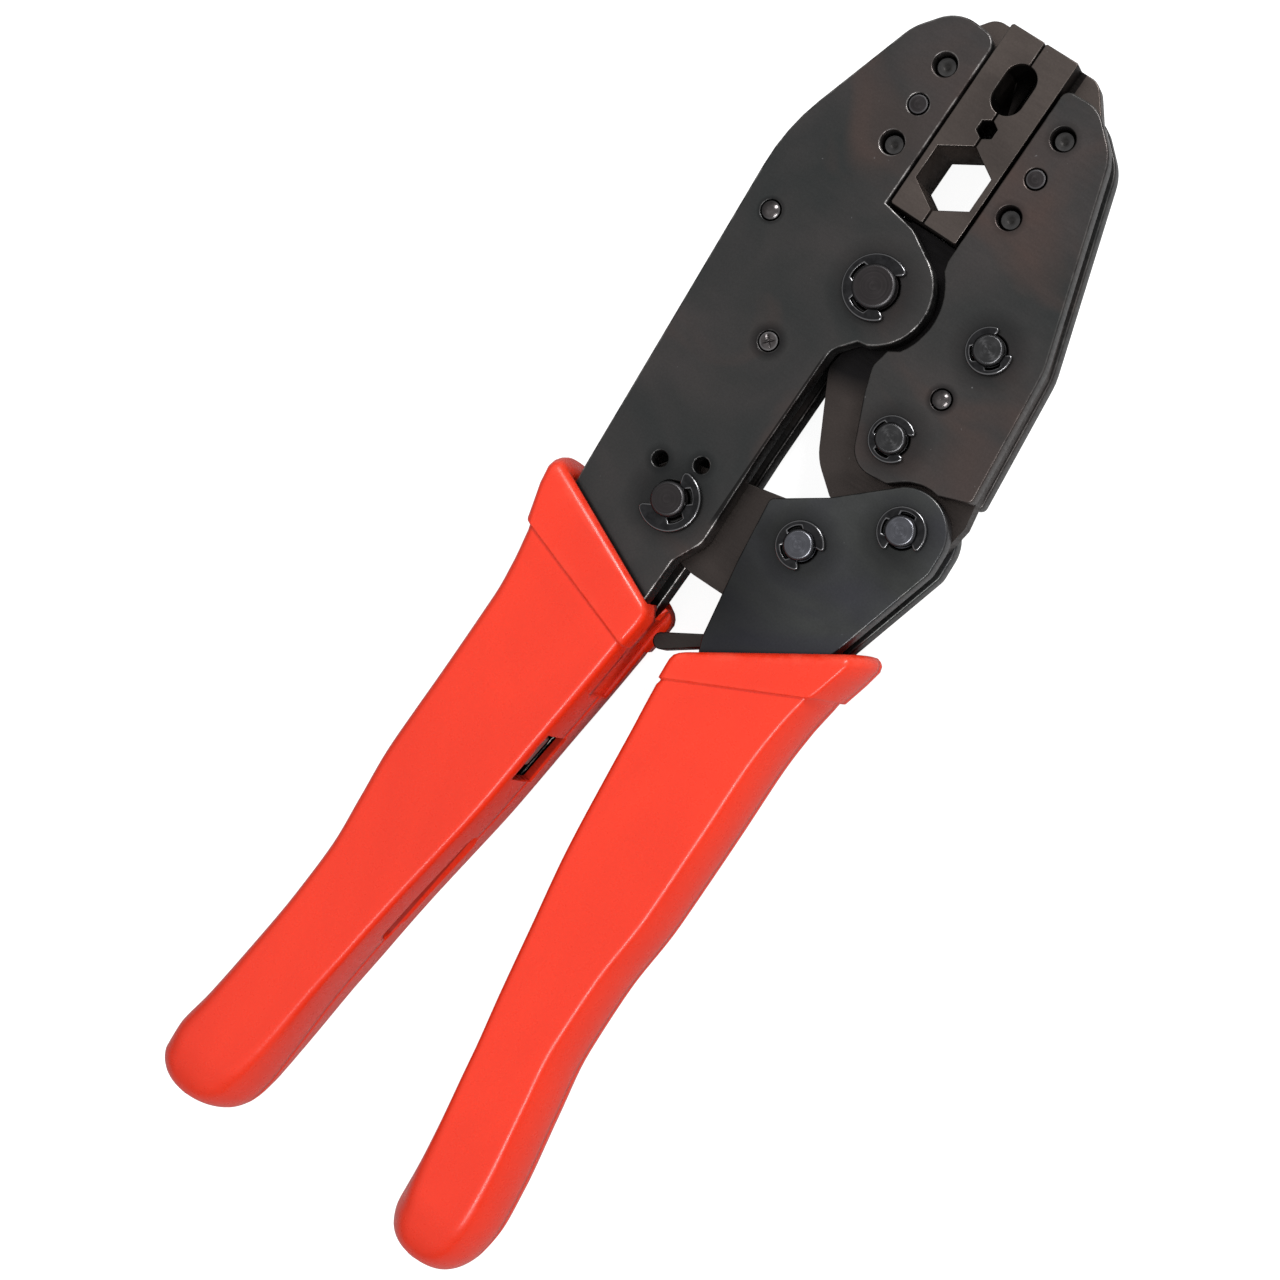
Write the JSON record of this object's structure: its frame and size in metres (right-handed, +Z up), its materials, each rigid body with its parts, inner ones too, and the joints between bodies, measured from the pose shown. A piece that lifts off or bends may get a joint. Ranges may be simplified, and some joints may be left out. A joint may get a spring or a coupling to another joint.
{
  "type": "ratchet crimping tool",
  "caption": "Ratchet crimping tool for coaxial plugs: black steel plate frame, hex and oval die halves, toggle linkage and red moulded grips.",
  "frame": {"origin": "middle of the footprint, on the surface that the tool lies on", "axes": "+Y along the tool towards the jaws, +X from the fixed side to the moving side, +Z up through the plates towards the retaining rings"},
  "size_m": [0.0692, 0.2334, 0.02],
  "materials": {
    "black_oxide_plate": "black oxide, satin, lightly oiled",
    "brown_oxide_link": "brown-black oxide, satin",
    "die_steel": "ground steel with a thin brown oxide",
    "pin_steel": "turned end faces, darkened",
    "retaining_ring_steel": "black spring steel, bright edges",
    "spring_wire": "drawn spring wire",
    "hidden_bright_steel": "bare steel",
    "red_grip": "satin injection moulding, slightly pebbled"
  },
  "bodies": {
    "frame": {"frame_front_plate": "black_oxide_plate", "frame_back_plate": "black_oxide_plate", "frame_upper_spacer": "brown_oxide_link", "frame_tang_spacer": "hidden_bright_steel", "fixed_grip": "red_grip", "fixed_die": "die_steel", "fixed_die_screw_high": "pin_steel", "fixed_die_screw_low": "pin_steel", "fixed_die_dowel": "pin_steel", "frame_rivet_upper": "pin_steel", "frame_rivet_lower": "pin_steel", "frame_tang_rivet_high": "hidden_bright_steel", "frame_tang_rivet_low": "hidden_bright_steel", "spring_anchor_pin": "hidden_bright_steel", "return_spring": "spring_wire", "main_pivot_pin": "pin_steel", "main_pivot_pin_ring": "retaining_ring_steel", "adjuster_pin": "pin_steel", "adjuster_pin_ring": "retaining_ring_steel", "adjuster_wheel": "pin_steel", "adjuster_lock_screw": "pin_steel"},
    "moving_jaw": {"jaw_front_plate": "black_oxide_plate", "jaw_back_plate": "black_oxide_plate", "jaw_lever": "brown_oxide_link", "moving_die": "die_steel", "moving_die_screw_high": "pin_steel", "moving_die_screw_low": "pin_steel", "moving_die_dowel": "pin_steel", "jaw_rivet": "pin_steel", "jaw_pin_upper": "pin_steel", "jaw_pin_upper_ring": "retaining_ring_steel", "jaw_pin_lower": "pin_steel", "jaw_pin_lower_ring": "retaining_ring_steel"},
    "moving_handle": {"handle_front_plate": "black_oxide_plate", "handle_back_plate": "black_oxide_plate", "handle_spacer": "hidden_bright_steel", "moving_grip": "red_grip", "handle_rivet_high": "hidden_bright_steel", "handle_rivet_low": "hidden_bright_steel", "pawl_pin": "hidden_bright_steel", "pawl_spring": "spring_wire", "handle_pivot_pin": "pin_steel", "handle_pivot_pin_ring": "retaining_ring_steel", "toggle_pin": "pin_steel", "toggle_pin_ring": "retaining_ring_steel"},
    "toggle_link": {"toggle_link": "brown_oxide_link"},
    "ratchet_pawl": {"ratchet_pawl": "brown_oxide_link"}
  },
  "joints": [
    {"name": "handle_hinge", "type": "hinge", "parent": "moving_jaw", "child": "moving_handle", "pos_m": [0.0241, 0.0374, 0.01], "axis": [0, 0, 1], "range_deg": [-1, 40]},
    {"name": "jaw_hinge", "type": "hinge", "parent": "frame", "child": "moving_jaw", "pos_m": [-0.0033, 0.0682, 0.01], "axis": [0, 0, 1], "range_deg": [-10.7, 0.3]},
    {"name": "toggle_hinge", "type": "hinge", "parent": "frame", "child": "toggle_link", "pos_m": [-0.0121, 0.0195, 0.01], "axis": [0, 0, 1], "range_deg": [-23.5, 0.65], "deforming": ["return_spring"]},
    {"name": "pawl_hinge", "type": "hinge", "parent": "moving_handle", "child": "ratchet_pawl", "pos_m": [0.0117, 0.0002, 0.01], "axis": [0, 0, 1], "range_deg": [-8, 0], "stiffness_Nm_per_rad": 0.05, "deforming": ["pawl_spring"]}
  ],
  "couplings": [
    {"joint": "jaw_hinge", "follows": "handle_hinge", "ratio": -0.265},
    {"joint": "toggle_hinge", "follows": "handle_hinge", "ratio": -0.583}
  ]
}
